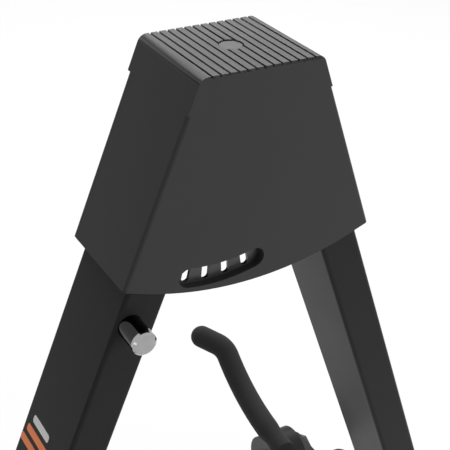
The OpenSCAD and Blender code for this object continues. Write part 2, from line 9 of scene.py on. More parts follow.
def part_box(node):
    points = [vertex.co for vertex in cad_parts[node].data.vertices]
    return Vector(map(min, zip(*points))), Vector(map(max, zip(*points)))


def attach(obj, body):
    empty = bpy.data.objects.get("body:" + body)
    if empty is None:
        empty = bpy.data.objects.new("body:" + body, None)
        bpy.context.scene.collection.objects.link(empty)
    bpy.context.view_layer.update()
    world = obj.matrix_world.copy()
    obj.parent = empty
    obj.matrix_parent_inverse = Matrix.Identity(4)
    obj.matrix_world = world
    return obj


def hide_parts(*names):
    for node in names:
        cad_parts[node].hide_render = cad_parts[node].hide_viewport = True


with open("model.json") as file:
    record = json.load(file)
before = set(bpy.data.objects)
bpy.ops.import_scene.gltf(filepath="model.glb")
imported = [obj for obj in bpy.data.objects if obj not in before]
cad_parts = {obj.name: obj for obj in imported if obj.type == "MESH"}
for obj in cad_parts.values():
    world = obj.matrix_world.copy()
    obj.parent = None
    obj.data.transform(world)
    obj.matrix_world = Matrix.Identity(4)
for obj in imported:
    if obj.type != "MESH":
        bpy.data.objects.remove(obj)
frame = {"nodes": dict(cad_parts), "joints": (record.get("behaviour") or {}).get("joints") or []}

bl_info = {
    "name": "Folding Guitar Stand",
    "version": (1, 0, 0),
    "blender": (4, 5, 0),
    "location": "3D View > Sidebar > Stand",
    "description": "Dresses the packed folding guitar stand: hood, legs, lock, arms and studio",
    "category": "Object",
}

NODES = frame["nodes"]
JOINTS = {joint["name"]: joint for joint in frame["joints"]}
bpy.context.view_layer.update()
CAP_LOW, CAP_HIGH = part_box("cap")
# The middle of the ribbed top, from which the hood's and the camera's places are measured
CAP_TOP = Vector(((CAP_LOW.x + CAP_HIGH.x) / 2, (CAP_LOW.y + CAP_HIGH.y) / 2, CAP_HIGH.z))
HUB = Vector(JOINTS["right_arm_swing"]["pos_m"])
LEFT_PIVOT = Vector(JOINTS["left_leg_fold"]["pos_m"])
PANEL_ORDER = []

# Sizes and angles that no user changes, in metres and radians
MERGE = 1e-6
NEAR = 10 * MERGE
FLAT = math.radians(0.5)
SHARP = math.radians(28)
SMOOTH = math.radians(34)
CORNER_SEGMENTS = 4
EDGE_SEGMENTS = 2

# Lean of the legs and of the hood's sides
LEAN = math.radians(21.2)
# How far the cap stands out over the hood, less a hair that keeps the faces apart
SEAM_GAP = 0.00003
HOOD_STEP = CAP_HIGH.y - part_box("rear_cover")[1].y - SEAM_GAP
# An edge of the hood that is higher than this is one of its long corners
LONG_EDGE = 0.05

GROOVE_COUNT = 13
GROOVE_PITCH = 0.0041
GROOVE_HALF = 0.0008
GROOVE_DEPTH = 0.0012
# Width that is kept of each groove
GROOVE_SHARE = 0.68

# Length of the peg's bright head, and of the change to its shaft, which carries a painted
# reflection of the leg, nearly black
PEG_HEAD = 0.0022
PEG_BLEND = 0.0005

# Half the photograph's side and the focal length of its solved camera, in its pixels
PHOTO_HALF = 225.0
PHOTO_FOCAL = 1005.74


# Small makers

def piece_from(bm, name, body, material, smooth=SMOOTH):
    """Turns a bmesh into a piece that rides on a body, with its place in its mesh."""
    bmesh.ops.recalc_face_normals(bm, faces=bm.faces)
    mesh = bpy.data.meshes.new(name)
    bm.to_mesh(mesh)
    bm.free()
    mesh.polygons.foreach_set("use_smooth", [True] * len(mesh.polygons))
    mesh.set_sharp_from_angle(angle=smooth)
    piece = bpy.data.objects.new(name, mesh)
    bpy.context.scene.collection.objects.link(piece)
    piece.data.materials.append(material)
    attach(piece, body)
    return piece


def merged(node):
    """A closed bmesh of a CAD node, with its flat faces joined up."""
    bm = bmesh.new()
    bm.from_mesh(NODES[node].data)
    bmesh.ops.remove_doubles(bm, verts=bm.verts, dist=MERGE)
    bmesh.ops.dissolve_limit(bm, angle_limit=FLAT, verts=bm.verts, edges=bm.edges)
    return bm


def sharp_edges(bm, test=lambda edge: True):
    """The edges between two faces that meet at an angle, if they pass the test."""
    return [e for e in bm.edges if len(e.link_faces) == 2
            and e.calc_face_angle(0) > SHARP and test(e)]


def round_edges(bm, edges, width, segments):
    bmesh.ops.bevel(bm, geom=edges, offset=width, offset_type="OFFSET", segments=segments,
                    profile=0.5, affect="EDGES", material=-1, clamp_overlap=True)


def softened(node, body, material, width, corners=(), shape=None,
             kept_sharp=lambda edge: False):
    """Stands for a CAD node with its edges broken; corners are (test, radius) pairs."""
    bm = merged(node)
    if shape:
        shape(bm)
    for test, radius in corners:
        round_edges(bm, sharp_edges(bm, test), radius, CORNER_SEGMENTS)
    convex = [e for e in sharp_edges(bm) if e.is_convex and not kept_sharp(e)]
    round_edges(bm, convex, width, EDGE_SEGMENTS)
    piece = piece_from(bm, node + "_skin", body, material)
    flat = piece.modifiers.new("Flat faces", "WEIGHTED_NORMAL")
    flat.keep_sharp = True
    flat.weight = 100
    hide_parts(node)
    return piece


def paint(nodes, material):
    """Gives CAD nodes whose shape is right their finish."""
    for node in nodes:
        slots = NODES[node].data.materials
        slots.clear()
        slots.append(material)


# Shader node groups

def new_group(name, inputs, outputs):
    """An empty shader group with its sockets; inputs are (label, kind, default)."""
    tree = bpy.data.node_groups.new(name, "ShaderNodeTree")
    for label, kind, default in inputs:
        socket = tree.interface.new_socket(label, in_out="INPUT", socket_type=kind)
        if default is not None:
            socket.default_value = default
    for label, kind in outputs:
        tree.interface.new_socket(label, in_out="OUTPUT", socket_type=kind)
    return tree, tree.nodes.new("NodeGroupInput"), tree.nodes.new("NodeGroupOutput")


def math_node(tree, operation, first, second, clamp=False):
    """A Math node's output; each operand is a number or a socket."""
    node = tree.nodes.new("ShaderNodeMath")
    node.operation = operation
    node.use_clamp = clamp
    for socket, value in zip(node.inputs, (first, second)):
        if isinstance(value, (int, float)):
            socket.default_value = value
        else:
            tree.links.new(value, socket)
    return node.outputs[0]


def noise(tree, vector, scale, detail):
    """Soft noise from 0 to 1; the scale is a number or a socket."""
    node = tree.nodes.new("ShaderNodeTexNoise")
    tree.links.new(vector, node.inputs["Vector"])
    node.inputs["Detail"].default_value = detail
    node.inputs["Roughness"].default_value = 0.55
    if isinstance(scale, (int, float)):
        node.inputs["Scale"].default_value = scale
    else:
        tree.links.new(scale, node.inputs["Scale"])
    return node.outputs["Fac"]


def scaled_colour(tree, colour, amount):
    node = tree.nodes.new("ShaderNodeVectorMath")
    node.operation = "SCALE"
    tree.links.new(colour, node.inputs[0])
    tree.links.new(amount, node.inputs["Scale"])
    return node.outputs[0]


def grain_group():
    """Fine grain with slow clouds: moulded texture, powder coat, rubber and foam."""
    tree, inside, out = new_group(
        "Fine grain",
        [("Vector", "NodeSocketVector", None), ("Colour", "NodeSocketColor", None),
         ("Grain scale", "NodeSocketFloat", 2500.0), ("Cloud scale", "NodeSocketFloat", 30.0),
         ("Shade", "NodeSocketFloat", 0.1), ("Roughness", "NodeSocketFloat", 0.5),
         ("Spread", "NodeSocketFloat", 0.1)],
        [("Colour", "NodeSocketColor"), ("Roughness", "NodeSocketFloat"),
         ("Height", "NodeSocketFloat")])
    fine = noise(tree, inside.outputs["Vector"], inside.outputs["Grain scale"], 2.0)
    cloud = noise(tree, inside.outputs["Vector"], inside.outputs["Cloud scale"], 4.0)
    # The clouds count twice; less their mean, the sum swings about nought
    both = math_node(tree, "ADD", fine, math_node(tree, "MULTIPLY", cloud, 2.0))
    swing = math_node(tree, "SUBTRACT", both, 1.5)
    shade = math_node(tree, "MULTIPLY_ADD", swing, inside.outputs["Shade"])
    shade.node.inputs[2].default_value = 1.0
    rough = math_node(tree, "MULTIPLY_ADD", swing, inside.outputs["Spread"])
    tree.links.new(inside.outputs["Roughness"], rough.node.inputs[2])
    tree.links.new(scaled_colour(tree, inside.outputs["Colour"], shade), out.inputs["Colour"])
    tree.links.new(rough, out.inputs["Roughness"])
    tree.links.new(fine, out.inputs["Height"])
    return tree


def scuff_group():
    """Sparse fine scratches and rubbed patches, as a mask."""
    tree, inside, out = new_group(
        "Handling scuffs",
        [("Vector", "NodeSocketVector", None), ("Amount", "NodeSocketFloat", 0.5)],
        [("Mask", "NodeSocketFloat")])
    stretch = tree.nodes.new("ShaderNodeMapping")
    stretch.inputs["Scale"].default_value = (60.0, 420.0, 900.0)
    stretch.inputs["Rotation"].default_value = (0.3, 0.5, 0.2)
    tree.links.new(inside.outputs["Vector"], stretch.inputs["Vector"])
    # Only the crests of the stretched noise are scratches, and only in rubbed patches
    line = noise(tree, stretch.outputs["Vector"], 1.0, 2.0)
    thin = math_node(tree, "MULTIPLY", math_node(tree, "SUBTRACT", line, 0.64), 9.0, True)
    patch = noise(tree, inside.outputs["Vector"], 22.0, 3.0)
    where = math_node(tree, "MULTIPLY", math_node(tree, "SUBTRACT", patch, 0.5), 5.0, True)
    mask = math_node(tree, "MULTIPLY", thin, where)
    tree.links.new(math_node(tree, "MULTIPLY", mask, inside.outputs["Amount"]),
                   out.inputs["Mask"])
    return tree


def brushed_group():
    """Lines drawn along the piece's length by a belt or a lathe tool."""
    tree, inside, out = new_group(
        "Tool lines",
        [("Vector", "NodeSocketVector", None), ("Colour", "NodeSocketColor", None),
         ("Roughness", "NodeSocketFloat", 0.25), ("Spread", "NodeSocketFloat", 0.1)],
        [("Colour", "NodeSocketColor"), ("Roughness", "NodeSocketFloat"),
         ("Height", "NodeSocketFloat")])
    stretch = tree.nodes.new("ShaderNodeMapping")
    stretch.inputs["Scale"].default_value = (300.0, 4000.0, 300.0)
    tree.links.new(inside.outputs["Vector"], stretch.inputs["Vector"])
    line = noise(tree, stretch.outputs["Vector"], 1.0, 2.0)
    swing = math_node(tree, "SUBTRACT", line, 0.5)
    shade = math_node(tree, "MULTIPLY_ADD", swing, 0.3)
    shade.node.inputs[2].default_value = 1.0
    rough = math_node(tree, "MULTIPLY_ADD", swing, inside.outputs["Spread"])
    tree.links.new(inside.outputs["Roughness"], rough.node.inputs[2])
    tree.links.new(scaled_colour(tree, inside.outputs["Colour"], shade), out.inputs["Colour"])
    tree.links.new(rough, out.inputs["Roughness"])
    tree.links.new(line, out.inputs["Height"])
    return tree


# Materials

def place_group(tree, group, **values):
    node = tree.nodes.new("ShaderNodeGroup")
    node.node_tree = bpy.data.node_groups[group]
    for label, value in values.items():
        socket = node.inputs[label.replace("_", " ")]
        if isinstance(value, bpy.types.NodeSocket):
            tree.links.new(value, socket)
        else:
            socket.default_value = value
    return node


def start_material(name, metallic=0.0, specular=0.5):
    """A material with its shader and the coordinates that its pattern follows."""
    material = bpy.data.materials.new(name)
    material.use_nodes = True
    tree = material.node_tree
    shader = tree.nodes["Principled BSDF"]
    shader.inputs["Metallic"].default_value = metallic
    shader.inputs["Specular IOR Level"].default_value = specular
    coordinates = tree.nodes.new("ShaderNodeTexCoord")
    return material, tree, shader, coordinates.outputs["Object"]


def add_bump(tree, shader, height, strength, distance):
    bump = tree.nodes.new("ShaderNodeBump")
    bump.inputs["Strength"].default_value = strength
    bump.inputs["Distance"].default_value = distance
    tree.links.new(height, bump.inputs["Height"])
    tree.links.new(bump.outputs["Normal"], shader.inputs["Normal"])


def grained(name, colour, roughness, grain=2500.0, cloud=30.0, shade=0.12, spread=0.12,
            bump=0.25, depth=0.0001, scuffs=0.0, scuff_colour=(0.18, 0.18, 0.19, 1.0),
            specular=0.5):
    """A plastic, paint, rubber or foam with its grain, its clouds and its scuffs."""
    material, tree, shader, vector = start_material(name, 0.0, specular)
    skin = place_group(tree, "Fine grain", Vector=vector, Colour=(*colour, 1.0),
                       Grain_scale=grain, Cloud_scale=cloud, Shade=shade,
                       Roughness=roughness, Spread=spread)
    base, rough = skin.outputs["Colour"], skin.outputs["Roughness"]
    if scuffs:
        mark = place_group(tree, "Handling scuffs", Vector=vector, Amount=scuffs)
        mix = tree.nodes.new("ShaderNodeMix")
        mix.data_type = "RGBA"
        tree.links.new(mark.outputs["Mask"], mix.inputs["Factor"])
        tree.links.new(base, mix.inputs["A"])
        mix.inputs["B"].default_value = scuff_colour
        base = mix.outputs["Result"]
    tree.links.new(base, shader.inputs["Base Color"])
    tree.links.new(rough, shader.inputs["Roughness"])
    add_bump(tree, shader, skin.outputs["Height"], bump, depth)
    return material


def turned(name, colour, roughness, spread=0.08, bump=0.12, depth=0.00004):
    """A bare or plated metal with its tool lines."""
    material, tree, shader, vector = start_material(name, 1.0)
    skin = place_group(tree, "Tool lines", Vector=vector, Colour=(*colour, 1.0),
                       Roughness=roughness, Spread=spread)
    tree.links.new(skin.outputs["Colour"], shader.inputs["Base Color"])
    tree.links.new(skin.outputs["Roughness"], shader.inputs["Roughness"])
    add_bump(tree, shader, skin.outputs["Height"], bump, depth)
    return material


def peg_material(colour, painted_reflection, roughness):
    """Chrome on the peg's head; its shaft carries a painted reflection of the leg, nearly black,
    in place of the mirror image that the chrome would show.
    """
    material, tree, shader, vector = start_material("Peg chrome", 1.0)
    place = tree.nodes.new("ShaderNodeSeparateXYZ")
    tree.links.new(vector, place.inputs[0])
    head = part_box("release_peg")[0].y + PEG_HEAD
    # Painted reflection: past the head, the chrome's colour gives way to a nearly black one that
    # stands for the leg mirrored in the shaft
    reflection_share = math_node(tree, "MULTIPLY",
                      math_node(tree, "SUBTRACT", place.outputs["Y"], head),
                      1.0 / PEG_BLEND, True)
    mix = tree.nodes.new("ShaderNodeMix")
    mix.data_type = "RGBA"
    tree.links.new(reflection_share, mix.inputs["Factor"])
    mix.inputs["A"].default_value = (*colour, 1.0)
    mix.inputs["B"].default_value = (*painted_reflection, 1.0)
    skin = place_group(tree, "Tool lines", Vector=vector, Colour=mix.outputs["Result"],
                       Roughness=roughness, Spread=0.05)
    tree.links.new(skin.outputs["Colour"], shader.inputs["Base Color"])
    tree.links.new(skin.outputs["Roughness"], shader.inputs["Roughness"])
    add_bump(tree, shader, skin.outputs["Height"], 0.03, 0.00004)
    return material


def foam_material(colour):
    """Closed-cell foam: small round cells over a soft matt skin."""
    material, tree, shader, vector = start_material("Foam", 0.0, 0.3)
    cells = tree.nodes.new("ShaderNodeTexVoronoi")
    cells.inputs["Scale"].default_value = 1400.0
    tree.links.new(vector, cells.inputs["Vector"])
    skin = place_group(tree, "Fine grain", Vector=vector, Colour=(*colour, 1.0),
                       Grain_scale=1800.0, Cloud_scale=45.0, Shade=0.25, Roughness=0.86,
                       Spread=0.1)
    tree.links.new(skin.outputs["Colour"], shader.inputs["Base Color"])
    tree.links.new(skin.outputs["Roughness"], shader.inputs["Roughness"])
    height = math_node(tree, "ADD", cells.outputs["Distance"], skin.outputs["Height"])
    add_bump(tree, shader, height, 0.55, 0.00025)
    return material


MATERIALS = {}


class StandColours(bpy.types.PropertyGroup):
    """Colours of the stand's finishes."""
    hood: bpy.props.FloatVectorProperty(
        name="Hood", description="Colour of the moulded hood and cap", subtype="COLOR",
        default=(0.053, 0.053, 0.0535), min=0.0, max=1.0)
    leg: bpy.props.FloatVectorProperty(
        name="Legs", description="Colour of the powder coat on the tubes", subtype="COLOR",
        default=(0.028, 0.028, 0.0284), min=0.0, max=1.0)
    foam: bpy.props.FloatVectorProperty(
        name="Foam", description="Colour of the foam sleeves", subtype="COLOR",
        default=(0.015, 0.015, 0.0153), min=0.0, max=1.0)
    accent: bpy.props.FloatVectorProperty(
        name="Accent", description="Colour of the two plain bars on the left leg",
        subtype="COLOR", default=(1.0, 0.22, 0.012), min=0.0, max=1.0)


class StandSizes(bpy.types.PropertyGroup):
    """Sizes of the softened edges, the foam and the leg's plain bars."""
    edge: bpy.props.FloatProperty(
        name="Edge", description="Width of the broken edges", subtype="DISTANCE",
        default=0.0003, min=0.0001, max=0.001)
    corner: bpy.props.FloatProperty(
        name="Hood corner", description="Radius down the hood's four long corners",
        subtype="DISTANCE", default=0.0018, min=0.0005, max=0.0025)
    rib_end: bpy.props.FloatProperty(
        name="Rib ends", description="Radius at the front and back ends of the cap's ribs",
        subtype="DISTANCE", default=0.0008, min=0.0004, max=0.001)
    foam_radius: bpy.props.FloatProperty(
        name="Foam radius", description="Outer radius of the foam sleeves",
        subtype="DISTANCE", default=0.0085, min=0.006, max=0.01)
    foam_lip: bpy.props.FloatProperty(
        name="Foam lip", description="Radius round the end of the foam at the hub",
        subtype="DISTANCE", default=0.0012, min=0.0004, max=0.003)
    bar_width: bpy.props.FloatProperty(
        name="Bar width", description="Width of each plain bar along the leg",
        subtype="DISTANCE", default=0.004, min=0.002, max=0.01)


class StandCamera(bpy.types.PropertyGroup):
    """The photograph's view, from the middle of the cap's top."""
    offset: bpy.props.FloatVectorProperty(
        name="Offset", description="Camera's place from the middle of the cap's top",
        subtype="TRANSLATION", default=(-0.21171, -0.34090, 0.15245))
    azimuth: bpy.props.FloatProperty(
        name="Azimuth", description="Turn to the left of the view along +Y",
        subtype="ANGLE", default=math.radians(-31.95))
    elevation: bpy.props.FloatProperty(
        name="Elevation", description="Tilt of the view below the horizon",
        subtype="ANGLE", default=math.radians(31.0))
    roll: bpy.props.FloatProperty(
        name="Roll", description="Roll about the view's own line", subtype="ANGLE",
        default=math.radians(2.44))
    view_angle: bpy.props.FloatProperty(
        name="View angle", description="Angle that the square picture takes in",
        subtype="ANGLE", default=2 * math.atan(PHOTO_HALF / PHOTO_FOCAL))


# Operators

def listed(cls):
    """Puts an operator in the panel, in the order in which the classes stand here."""
    PANEL_ORDER.append(cls)
    return cls


@listed
class STAND_OT_materials(bpy.types.Operator):
    """Make the shader groups and every finish of the stand"""
    bl_idname = "stand.materials"
    bl_label = "Finishes"

    def execute(self, context):
        colours = context.scene.stand_colours
        grain_group()
        scuff_group()
        brushed_group()
        hood, leg = tuple(colours.hood), tuple(colours.leg)
        MATERIALS.update(
            hood=grained("Hood plastic", hood, 0.46, grain=2600.0, cloud=18.0, shade=0.05,
                         spread=0.06, bump=0.14, depth=0.00006, scuffs=0.1, specular=0.07),
            button=grained("Button plastic", hood, 0.42, grain=2600.0, shade=0.05,
                           spread=0.06, bump=0.1, depth=0.00005, specular=0.07),
            leg=grained("Leg powder coat", leg, 0.34, grain=1700.0, cloud=14.0, shade=0.08,
                        spread=0.08, bump=0.3, depth=0.00008, scuffs=0.08, specular=0.045),
            gate=grained("Blackened steel", (0.035, 0.035, 0.037), 0.3, grain=1400.0,
                         shade=0.2, spread=0.14, bump=0.15, scuffs=0.7),
            shoe=grained("Shoe plastic", (0.028, 0.028, 0.029), 0.5, shade=0.1, bump=0.2,
                         scuffs=0.4),
            cast=grained("Cast head", (0.07, 0.07, 0.074), 0.55, grain=900.0, shade=0.3,
                         bump=0.5, depth=0.0002),
            bush=grained("Bush plastic", (0.62, 0.6, 0.52), 0.42, shade=0.06, bump=0.1),
            rubber=grained("Rubber", (0.018, 0.018, 0.019), 0.78, grain=1500.0, shade=0.3,
                           spread=0.12, bump=0.4, depth=0.00015, specular=0.35,
                           scuffs=0.5, scuff_colour=(0.09, 0.085, 0.08, 1.0)),
            accent=grained("Accent print", tuple(colours.accent), 0.4, shade=0.05, bump=0.08),
            white=grained("White print", (0.85, 0.85, 0.84), 0.4, shade=0.03, bump=0.08),
            chrome=turned("Chrome", (0.45, 0.45, 0.46), 0.09, spread=0.05, bump=0.03),
            # The peg's second colour is a painted reflection of the leg on its chrome shaft
            peg=peg_material((0.36, 0.36, 0.365), (0.03, 0.03, 0.031), 0.09),
            zinc=turned("Zinc plate", (0.3, 0.3, 0.31), 0.36),
            black_zinc=turned("Black zinc plate", (0.07, 0.07, 0.073), 0.42),
            steel=turned("Bright steel", (0.62, 0.62, 0.64), 0.24),
            foam=foam_material(tuple(colours.foam)),
        )
        return {"FINISHED"}


def at_depth(edge, depth):
    """Whether an edge lies in the plane square to Y at this depth."""
    return all(abs(v.co.y - depth) < MERGE for v in edge.verts)


def at_level(edge, level):
    """Whether an edge lies flat at this height."""
    return all(abs(v.co.z - level) < MERGE for v in edge.verts)


def rise(edge):
    """The height from an edge's one end to its other."""
    first, second = edge.verts
    return abs(first.co.z - second.co.z)


def lean_distance(point):
    """How far a point is outside the nearer leg's line, square to it."""
    across = abs(point.x) - abs(LEFT_PIVOT.x)
    return (across - (LEFT_PIVOT.z - point.z) * math.tan(LEAN)) * math.cos(LEAN)


def flush_sides(bm):
    """Brings the hood's front and sides out to the cap's, so that no step shows there."""
    front = min(v.co.y for v in bm.verts)
    side = max(lean_distance(v.co) for v in bm.verts)
    grow = HOOD_STEP / math.cos(LEAN)
    is_front = abs(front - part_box("hood")[0].y) < MERGE
    for v in bm.verts:
        if lean_distance(v.co) > side - 2 * NEAR:
            v.co.x += math.copysign(grow, v.co.x)
        if is_front and v.co.y < front + MERGE:
            v.co.y -= HOOD_STEP


def narrow_grooves(bm):
    """Draws the walls of the cap's grooves a little closer together."""
    level = CAP_TOP.z - GROOVE_DEPTH
    for v in bm.verts:
        if v.co.z < level - NEAR:
            continue
        middle = round(v.co.x / GROOVE_PITCH) * GROOVE_PITCH
        off = v.co.x - middle
        in_row = abs(middle) < GROOVE_COUNT / 2 * GROOVE_PITCH
        if in_row and abs(abs(off) - GROOVE_HALF) < NEAR:
            v.co.x = middle + off * GROOVE_SHARE


@listed
class STAND_OT_hood(bpy.types.Operator):
    """Dress the hood, its ribbed cap, its rear cover, the button and the gate"""
    bl_idname = "stand.hood"
    bl_label = "Hood and cap"

    def execute(self, context):
        sizes = context.scene.stand_sizes
        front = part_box("hood")[0].y - HOOD_STEP
        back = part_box("rear_cover")[1].y
        cap_height = CAP_HIGH.z - CAP_LOW.z

        def front_corner(edge):
            return at_depth(edge, front) and rise(edge) > LONG_EDGE

        def back_corner(edge):
            return at_depth(edge, back) and rise(edge) > LONG_EDGE

        def cap_corner(edge):
            return at_depth(edge, CAP_LOW.y) and rise(edge) > cap_height / 2

        def rib_end(edge):
            return at_level(edge, CAP_HIGH.z) and (
                at_depth(edge, CAP_LOW.y) or at_depth(edge, CAP_HIGH.y))

        def on_seam(edge):
            return at_level(edge, CAP_LOW.z)

        plastic = MATERIALS["hood"]
        softened("hood", "root", plastic, sizes.edge,
                 [(front_corner, sizes.corner)], flush_sides, on_seam)
        softened("rear_cover", "root", plastic, sizes.edge,
                 [(back_corner, sizes.corner)], flush_sides, on_seam)
        softened("cap", "root", plastic, sizes.edge,
                 [(cap_corner, sizes.corner), (rib_end, sizes.rib_end)], narrow_grooves,
                 on_seam)
        softened("release_button", "button", MATERIALS["button"],
                 sizes.edge)
        paint(["gate_plate"], MATERIALS["gate"])
        paint(["cover_screws"], MATERIALS["zinc"])
        paint(["pivot_pins", "button_spring"], MATERIALS["steel"])
        return {"FINISHED"}


@listed
class STAND_OT_legs(bpy.types.Operator):
    """Dress the geared heads, the box tubes, the shoes and what fastens them"""
    bl_idname = "stand.legs"
    bl_label = "Legs"

    def execute(self, context):
        for side in ("left", "right"):
            paint([side + "_leg_tube", side + "_foot_bar", side + "_arm_bracket"],
                  MATERIALS["leg"])
            paint([side + "_leg_head"], MATERIALS["cast"])
            paint([side + "_bushes"], MATERIALS["bush"])
            paint([side + "_leg_shoe"], MATERIALS["shoe"])
            paint([side + part for part in ("_head_rivets", "_shoe_screws",
                                            "_bracket_screws", "_hub_bolt", "_hub_nut")],
                  MATERIALS["black_zinc"])
        return {"FINISHED"}


@listed
class STAND_OT_feet(bpy.types.Operator):
    """Dress the four rubber foot caps"""
    bl_idname = "stand.feet"
    bl_label = "Feet"

    def execute(self, context):
        paint(["left_foot_caps", "right_foot_caps"], MATERIALS["rubber"])
        return {"FINISHED"}


@listed
class STAND_OT_lock(bpy.types.Operator):
    """Dress the lock's carrier, its pin, its peg and its spring"""
    bl_idname = "stand.lock"
    bl_label = "Lock"

    def execute(self, context):
        paint(["lock_carrier"], MATERIALS["gate"])
        paint(["lock_pin"], MATERIALS["chrome"])
        paint(["release_peg"], MATERIALS["peg"])
        paint(["peg_screw"], MATERIALS["zinc"])
        paint(["lock_spring"], MATERIALS["steel"])
        return {"FINISHED"}


@listed
class STAND_OT_arms(bpy.types.Operator):
    """Dress the arm hubs and rods"""
    bl_idname = "stand.arms"
    bl_label = "Arms"

    def execute(self, context):
        for side in ("left", "right"):
            paint([side + "_arm_hub"], MATERIALS["shoe"])
            paint([side + "_arm_rod"], MATERIALS["leg"])
        return {"FINISHED"}


# The arm's line. It leaves a point above its hub and sweeps up in an arc about a centre over
# that point, then bends inward to its tip. Angles are measured from straight below the centre.
LINE_RISE = 0.0208
LINE_BACK = 0.003
SWEEP_RADIUS = 0.120
SWEEP_START = math.radians(3)
SWEEP_END = math.radians(43.5)
TIP_YAW = math.radians(41.4)
TIP_PITCH = math.radians(16.5)
TIP_LENGTH = 0.01995
# Share of the tip's length that the bend takes up on either side of its corner
BEND_SHARE = 0.36

# The foam fits the hub's socket closely from its start to the boot's end, then swells to full
FOAM_START = math.radians(-3.5)
BOOT_END = math.radians(3)
FOAM_FULL = math.radians(9)
BOOT_RADIUS = 0.00725
FOAM_SIDES = 48
LIP_ANGLES = (35, 65, 90)
DOME_STEPS = 12


def arm_line(radius, steps=34, bend_steps=10):
    """Places, directions and radii along the right arm's foam, from root to tip."""
    centre = Vector((HUB.x, HUB.y - LINE_BACK - SWEEP_RADIUS * math.sin(SWEEP_START),
                     HUB.z + LINE_RISE + SWEEP_RADIUS * math.cos(SWEEP_START)))

    def on_sweep(angle):
        full = min(1.0, max(0.0, (angle - BOOT_END) / (FOAM_FULL - BOOT_END)))
        full = full * full * (3 - 2 * full)
        return (centre + SWEEP_RADIUS * Vector((0, math.sin(angle), -math.cos(angle))),
                Vector((0, math.cos(angle), math.sin(angle))),
                BOOT_RADIUS + (radius - BOOT_RADIUS) * full)

    tip_way = Vector((-math.sin(TIP_YAW) * math.cos(TIP_PITCH),
                      math.cos(TIP_YAW) * math.cos(TIP_PITCH), math.sin(TIP_PITCH)))
    corner = on_sweep(SWEEP_END)[0]
    bend = BEND_SHARE * TIP_LENGTH
    first = on_sweep(SWEEP_END - bend / SWEEP_RADIUS)[0]
    last = corner + bend * tip_way
    line = []
    for i in range(steps):
        share = i / (steps - 1)
        angle = FOAM_START + (SWEEP_END - bend / SWEEP_RADIUS - FOAM_START) * share
        line.append(on_sweep(angle))
    for i in range(1, bend_steps + 1):
        t = i / bend_steps
        place = (1 - t) ** 2 * first + 2 * t * (1 - t) * corner + t * t * last
        way = (1 - t) * (corner - first) + t * (last - corner)
        line.append((place, way.normalized(), radius))
    line.append((corner + TIP_LENGTH * tip_way, tip_way, radius))
    return line


def ring_matrix(place, way, scale):
    """Where a unit circle goes so that it stands square to the line."""
    return (Matrix.Translation(place) @ way.to_track_quat("Z", "X").to_matrix().to_4x4()
            @ Matrix.Scale(scale, 4))


def sweep_ring(bm, rings):
    """Draws a unit circle along the ring matrices; each ring is extruded from the last."""
    made = bmesh.ops.create_circle(bm, cap_ends=False, radius=1.0, segments=FOAM_SIDES)
    verts = made["verts"]
    bmesh.ops.transform(bm, matrix=rings[0], verts=verts)
    edges = list(bm.edges)
    for before, after in zip(rings, rings[1:]):
        grown = bmesh.ops.extrude_edge_only(bm, edges=edges)["geom"]
        edges = [g for g in grown if isinstance(g, bmesh.types.BMEdge)]
        verts = [g for g in grown if isinstance(g, bmesh.types.BMVert)]
        bmesh.ops.transform(bm, matrix=after @ before.inverted(), verts=verts)
    return edges


@listed
class STAND_OT_foam(bpy.types.Operator):
    """Make the two foam sleeves, with their close-fitting roots and round tips"""
    bl_idname = "stand.foam"
    bl_label = "Foam sleeves"

    def execute(self, context):
        sizes = context.scene.stand_sizes
        radius, lip = sizes.foam_radius, sizes.foam_lip
        line = arm_line(radius)
        start, way, root = line[0]
        rings = [ring_matrix(start, way, root - lip)]
        rings += [ring_matrix(start + way * lip * (1 - math.cos(a)), way,
                              root - lip + lip * math.sin(a))
                  for a in map(math.radians, LIP_ANGLES)]
        rings += [ring_matrix(*ring) for ring in line[1:]]
        end, way, tip = line[-1]
        for i in range(1, DOME_STEPS):
            a = math.radians(90) * i / DOME_STEPS
            rings.append(ring_matrix(end + way * tip * math.sin(a), way, tip * math.cos(a)))
        for side, sign in (("right", 1), ("left", -1)):
            bm = bmesh.new()
            edges = sweep_ring(bm, rings)
            bmesh.ops.contextual_create(bm, geom=edges)
            root_edges = [e for e in bm.edges if e.is_boundary]
            bmesh.ops.contextual_create(bm, geom=root_edges)
            if sign < 0:
                bmesh.ops.scale(bm, vec=(-1, 1, 1), verts=bm.verts)
            foam = piece_from(bm, side + "_foam_sleeve", side + "_arm", MATERIALS["foam"])
            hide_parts(side + "_arm_foam")
        return {"FINISHED"}


# The plain bars, in metres in the left leg's own frame: the leg's outer face, the print's
# height on it, the longest bar, the bars' place across the leg and down from the pivot
BAR_FACE = 0.010
BAR_HEIGHT = 0.00012
BAR_REACH = 0.030
BAR_SHIFT = -0.006
BAR_DOWN = 0.182
# Distance from bar to bar in bar widths
BAR_STEP = 1.7
# Each bar's finish and its share of the longest bar, from the top
BARS = (("white", 0.6), ("accent", 0.8), ("accent", 1.0))


def leg_matrix():
    """The left leg's own frame: X outward, Y to the front, Z up along the leg."""
    up = Vector((math.sin(LEAN), 0, math.cos(LEAN)))
    out = Vector((-math.cos(LEAN), 0, math.sin(LEAN)))
    front = up.cross(out)
    turn = Matrix((out, front, up)).transposed().to_4x4()
    return Matrix.Translation(Vector((LEFT_PIVOT.x, CAP_TOP.y, LEFT_PIVOT.z))) @ turn


